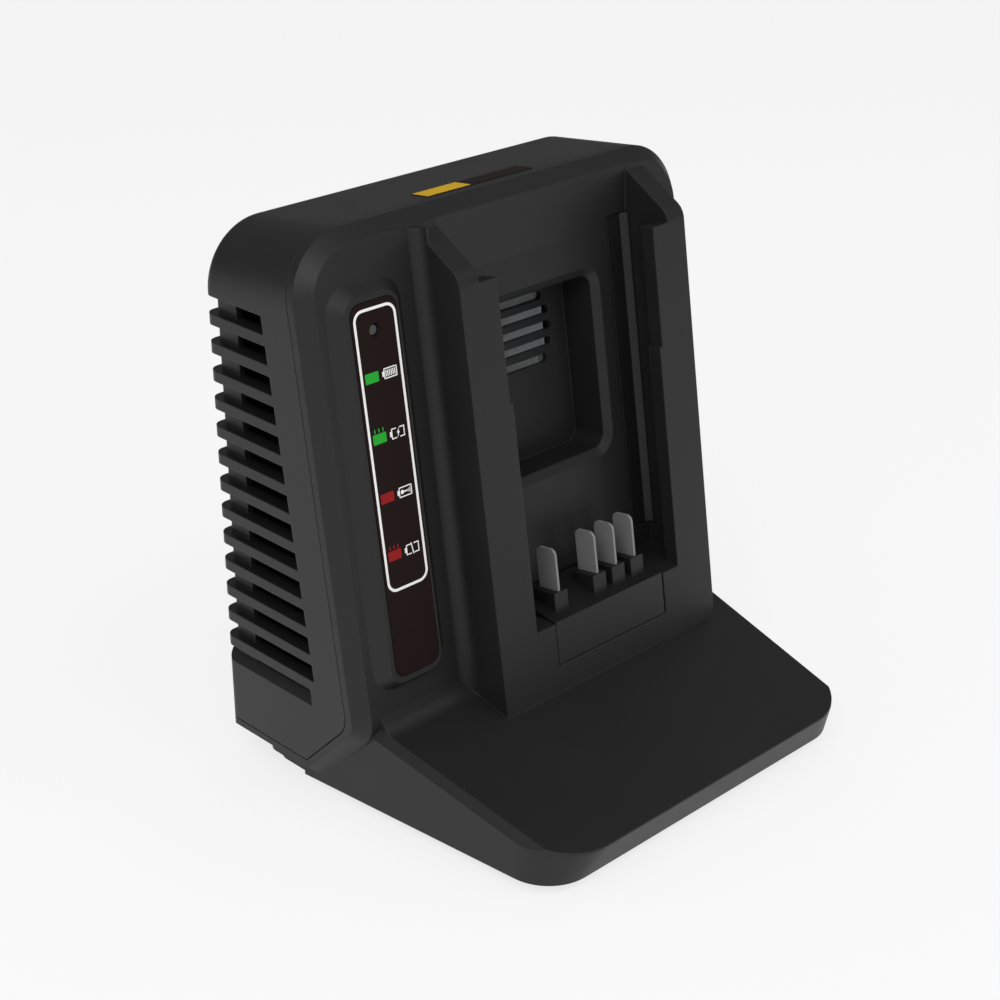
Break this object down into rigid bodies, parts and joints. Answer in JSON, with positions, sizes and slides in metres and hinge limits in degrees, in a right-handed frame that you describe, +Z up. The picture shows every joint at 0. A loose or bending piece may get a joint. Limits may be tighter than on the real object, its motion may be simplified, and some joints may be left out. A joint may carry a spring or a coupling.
{
  "type": "power tool battery charger",
  "caption": "Desk-standing charger for a slide-on tool battery: leaning dock with blade contacts, finned side vents, indicator strip and a sealed fan.",
  "frame": {"origin": "centre of the bounding box's footprint, on the surface that the feet stand on", "axes": "+X to the right seen from the front, +Y from the front to the back, +Z up"},
  "size_m": [0.178, 0.1536, 0.2003],
  "materials": {
    "housing": "fine moulded grain, near-black",
    "label_film": "printed satin film, dark brown-black",
    "roof_film": "printed satin film, two plain colour blocks",
    "lens": "smoked clear plastic",
    "board": "green circuit board",
    "led_body": "clear lamp body",
    "screw_steel": "zinc plated",
    "fin_aluminium": "plain rolled",
    "inner_plastic": "black moulded",
    "bearing_brass": "plain",
    "ferrite": "dark pressed ferrite",
    "winding_copper": "varnished copper wire",
    "capacitor_sleeve": "dark blue sleeve",
    "transistor_case": "moulded case",
    "fuse_glass": "glass tube",
    "plated_pin": "nickel plated",
    "contact_metal": "tinned contact sheet",
    "lead_mains": "brown insulated wire",
    "lead_output": "red insulated wire",
    "foot_rubber": "soft moulded rubber"
  },
  "bodies": {
    "charger_body": {"board_screws": "screw_steel", "choke_core": "ferrite", "choke_winding": "winding_copper", "contact_blade_1": "contact_metal", "contact_blade_2": "contact_metal", "contact_blade_3": "contact_metal", "contact_blade_4": "contact_metal", "cooling_fins": "fin_aluminium", "fan_bush": "bearing_brass", "fan_frame": "inner_plastic", "fan_screws": "screw_steel", "foot_front_left": "foot_rubber", "foot_front_right": "foot_rubber", "foot_rear_left": "foot_rubber", "foot_rear_right": "foot_rubber", "front_housing": "housing", "fuse_clips": "bearing_brass", "fuse_tube": "fuse_glass", "guide_strip_left": "housing", "guide_strip_right": "housing", "heatsink": "fin_aluminium", "housing_screws": "screw_steel", "indicator_label": "label_film", "inlet_pin_left": "plated_pin", "inlet_pin_right": "plated_pin", "led_board": "board", "led_board_screws": "screw_steel", "leds": "led_body", "light_guides": "lens", "main_board": "board", "mains_capacitor_1": "capacitor_sleeve", "mains_capacitor_2": "capacitor_sleeve", "mains_inlet": "inner_plastic", "mains_lead_left": "lead_mains", "mains_lead_right": "lead_mains", "output_capacitor_1": "capacitor_sleeve", "output_capacitor_2": "capacitor_sleeve", "output_capacitor_3": "capacitor_sleeve", "output_lead_left": "lead_output", "output_lead_right": "lead_output", "power_transistor_1": "transistor_case", "power_transistor_2": "transistor_case", "rear_cover": "housing", "roof_label": "roof_film", "status_lens": "lens", "terminal_block": "housing", "transformer_bobbin": "inner_plastic", "transformer_core": "ferrite", "transformer_winding": "winding_copper"},
    "fan": {"fan_rotor": "inner_plastic"}
  },
  "joints": [
    {"name": "fan_spin", "type": "hinge", "parent": "charger_body", "child": "fan", "pos_m": [0.01485, 0.0574, 0.13744], "axis": [0, 0.9888, -0.149], "continuous": true}
  ]
}
